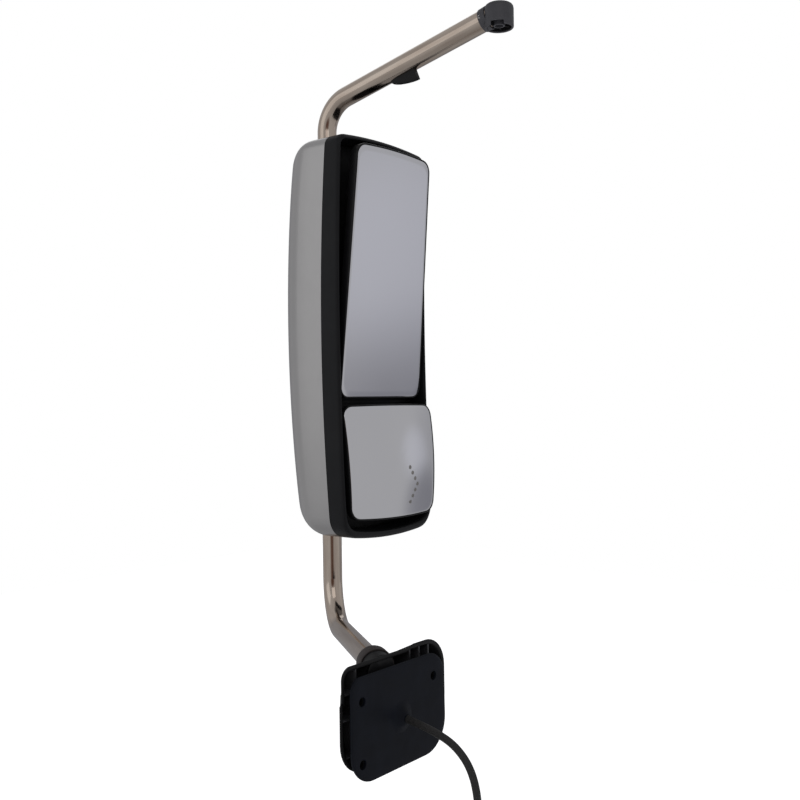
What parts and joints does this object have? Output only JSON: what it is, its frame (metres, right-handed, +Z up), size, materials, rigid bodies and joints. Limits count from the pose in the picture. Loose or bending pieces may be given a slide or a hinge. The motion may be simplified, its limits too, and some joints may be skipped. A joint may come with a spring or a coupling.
{
  "type": "truck side mirror",
  "caption": "Tall truck door mirror head with flat and convex glasses on a bent tube arm between a ribbed door base and a cab pivot boss, with a signal arrow and a cable.",
  "frame": {"origin": "on the gasket's door face, midway between the two upper bolt holes", "axes": "+Z up, +Y away from the door, +X to the rear of the vehicle"},
  "size_m": [0.4925, 0.5081, 1.3283],
  "materials": {
    "gasket_rubber": "matte moulded sheet, blue-black",
    "black_plastic": "fine grained moulding",
    "zinc_steel": "zinc plated",
    "cast_aluminium": "as cast",
    "grommet_rubber": "soft satin",
    "cable_sleeve": "braided sleeve",
    "nylon": "satin nylon",
    "plug_plastic": "satin moulding",
    "polished_steel": "polished stainless with long draw lines",
    "black_casting": "fine textured black coating",
    "satin_chrome": "satin bright plating",
    "bezel_plastic": "fine grained moulding",
    "motor_steel": "drawn can",
    "mirror_glass": "first surface mirror",
    "heater_foil": "printed foil",
    "frame_plastic": "smooth black moulding",
    "circuit_board": "solder mask",
    "amber_lens": "clear amber"
  },
  "bodies": {
    "root": {"door_gasket": "gasket_rubber", "base_housing": "black_plastic", "arm_boot": "black_plastic", "arm_hook": "black_plastic", "base_inserts": "zinc_steel", "socket_screws": "zinc_steel", "pivot_bushing": "zinc_steel", "boss_pin": "zinc_steel", "hook_rivets": "zinc_steel", "socket_sleeve": "cast_aluminium", "cable_grommet": "grommet_rubber", "cable_lead": "cable_sleeve", "cable_hank": "cable_sleeve", "tube_harness": "cable_sleeve", "cable_tie": "nylon", "cable_plug": "plug_plastic", "arm_tube": "polished_steel", "pivot_boss": "black_casting"},
    "head": {"cover_shell": "satin_chrome", "bezel": "bezel_plastic", "chassis_plate": "black_plastic", "upper_actuator_case": "black_plastic", "lower_actuator_case": "black_plastic", "upper_actuator_cover": "black_plastic", "lower_actuator_cover": "black_plastic", "shell_screws": "zinc_steel", "clamp_bolts": "zinc_steel", "lower_clamp_block": "cast_aluminium", "upper_clamp_block": "cast_aluminium", "lower_clamp_cap": "cast_aluminium", "upper_clamp_cap": "cast_aluminium", "friction_liners": "nylon", "bottom_grommet": "grommet_rubber", "top_grommet": "grommet_rubber", "upper_actuator_motors": "motor_steel", "lower_actuator_motors": "motor_steel"},
    "upper_mirror": {"upper_glass": "mirror_glass", "upper_heater": "heater_foil", "upper_backing": "frame_plastic"},
    "upper_gimbal": {"upper_pivot_cross": "zinc_steel"},
    "upper_tilt_drive": {"upper_tilt_jack": "nylon"},
    "upper_pan_drive": {"upper_pan_jack": "nylon"},
    "lower_mirror": {"lower_glass": "mirror_glass", "lower_heater": "heater_foil", "lower_backing": "frame_plastic", "signal_board": "circuit_board", "signal_lamps": "amber_lens"},
    "lower_gimbal": {"lower_pivot_cross": "zinc_steel"},
    "lower_tilt_drive": {"lower_tilt_jack": "nylon"},
    "lower_pan_drive": {"lower_pan_jack": "nylon"}
  },
  "joints": [
    {"name": "head_swivel", "type": "hinge", "parent": "root", "child": "head", "pos_m": [0.2035, 0.3005, 0.483], "axis": [0, 0, 1], "range_deg": [-15, 105]},
    {"name": "upper_pan", "type": "hinge", "parent": "head", "child": "upper_gimbal", "pos_m": [0.27, 0.244, 0.59175], "axis": [0, 0, 1], "range_deg": [-6, 6]},
    {"name": "upper_tilt", "type": "hinge", "parent": "upper_gimbal", "child": "upper_mirror", "pos_m": [0.27, 0.244, 0.59175], "axis": [1, 0, 0], "range_deg": [-11.7, 1.3]},
    {"name": "upper_pan_jack_slide", "type": "slide", "parent": "head", "child": "upper_pan_drive", "axis": [0, 1, 0], "range_m": [-0.00427, 0.00427]},
    {"name": "upper_tilt_jack_slide", "type": "slide", "parent": "head", "child": "upper_tilt_drive", "axis": [0, 1, 0], "range_m": [-0.00785, 0.00132]},
    {"name": "lower_pan", "type": "hinge", "parent": "head", "child": "lower_gimbal", "pos_m": [0.27, 0.244, 0.278], "axis": [0, 0, 1], "range_deg": [-2.8, 13.2]},
    {"name": "lower_tilt", "type": "hinge", "parent": "lower_gimbal", "child": "lower_mirror", "pos_m": [0.27, 0.244, 0.278], "axis": [0.9959, -0.0906, 0], "range_deg": [-5, 11]},
    {"name": "lower_pan_jack_slide", "type": "slide", "parent": "head", "child": "lower_pan_drive", "axis": [0, 1, 0], "range_m": [-0.00226, 0.00879]},
    {"name": "lower_tilt_jack_slide", "type": "slide", "parent": "head", "child": "lower_tilt_drive", "axis": [0, 1, 0], "range_m": [-0.00364, 0.00741]}
  ],
  "couplings": [
    {"joint": "upper_pan_jack_slide", "follows": "upper_pan", "m_per_rad": 0.036},
    {"joint": "upper_tilt_jack_slide", "follows": "upper_tilt", "m_per_rad": 0.036},
    {"joint": "lower_pan_jack_slide", "follows": "lower_pan", "m_per_rad": 0.036},
    {"joint": "lower_tilt_jack_slide", "follows": "lower_tilt", "m_per_rad": 0.036}
  ]
}
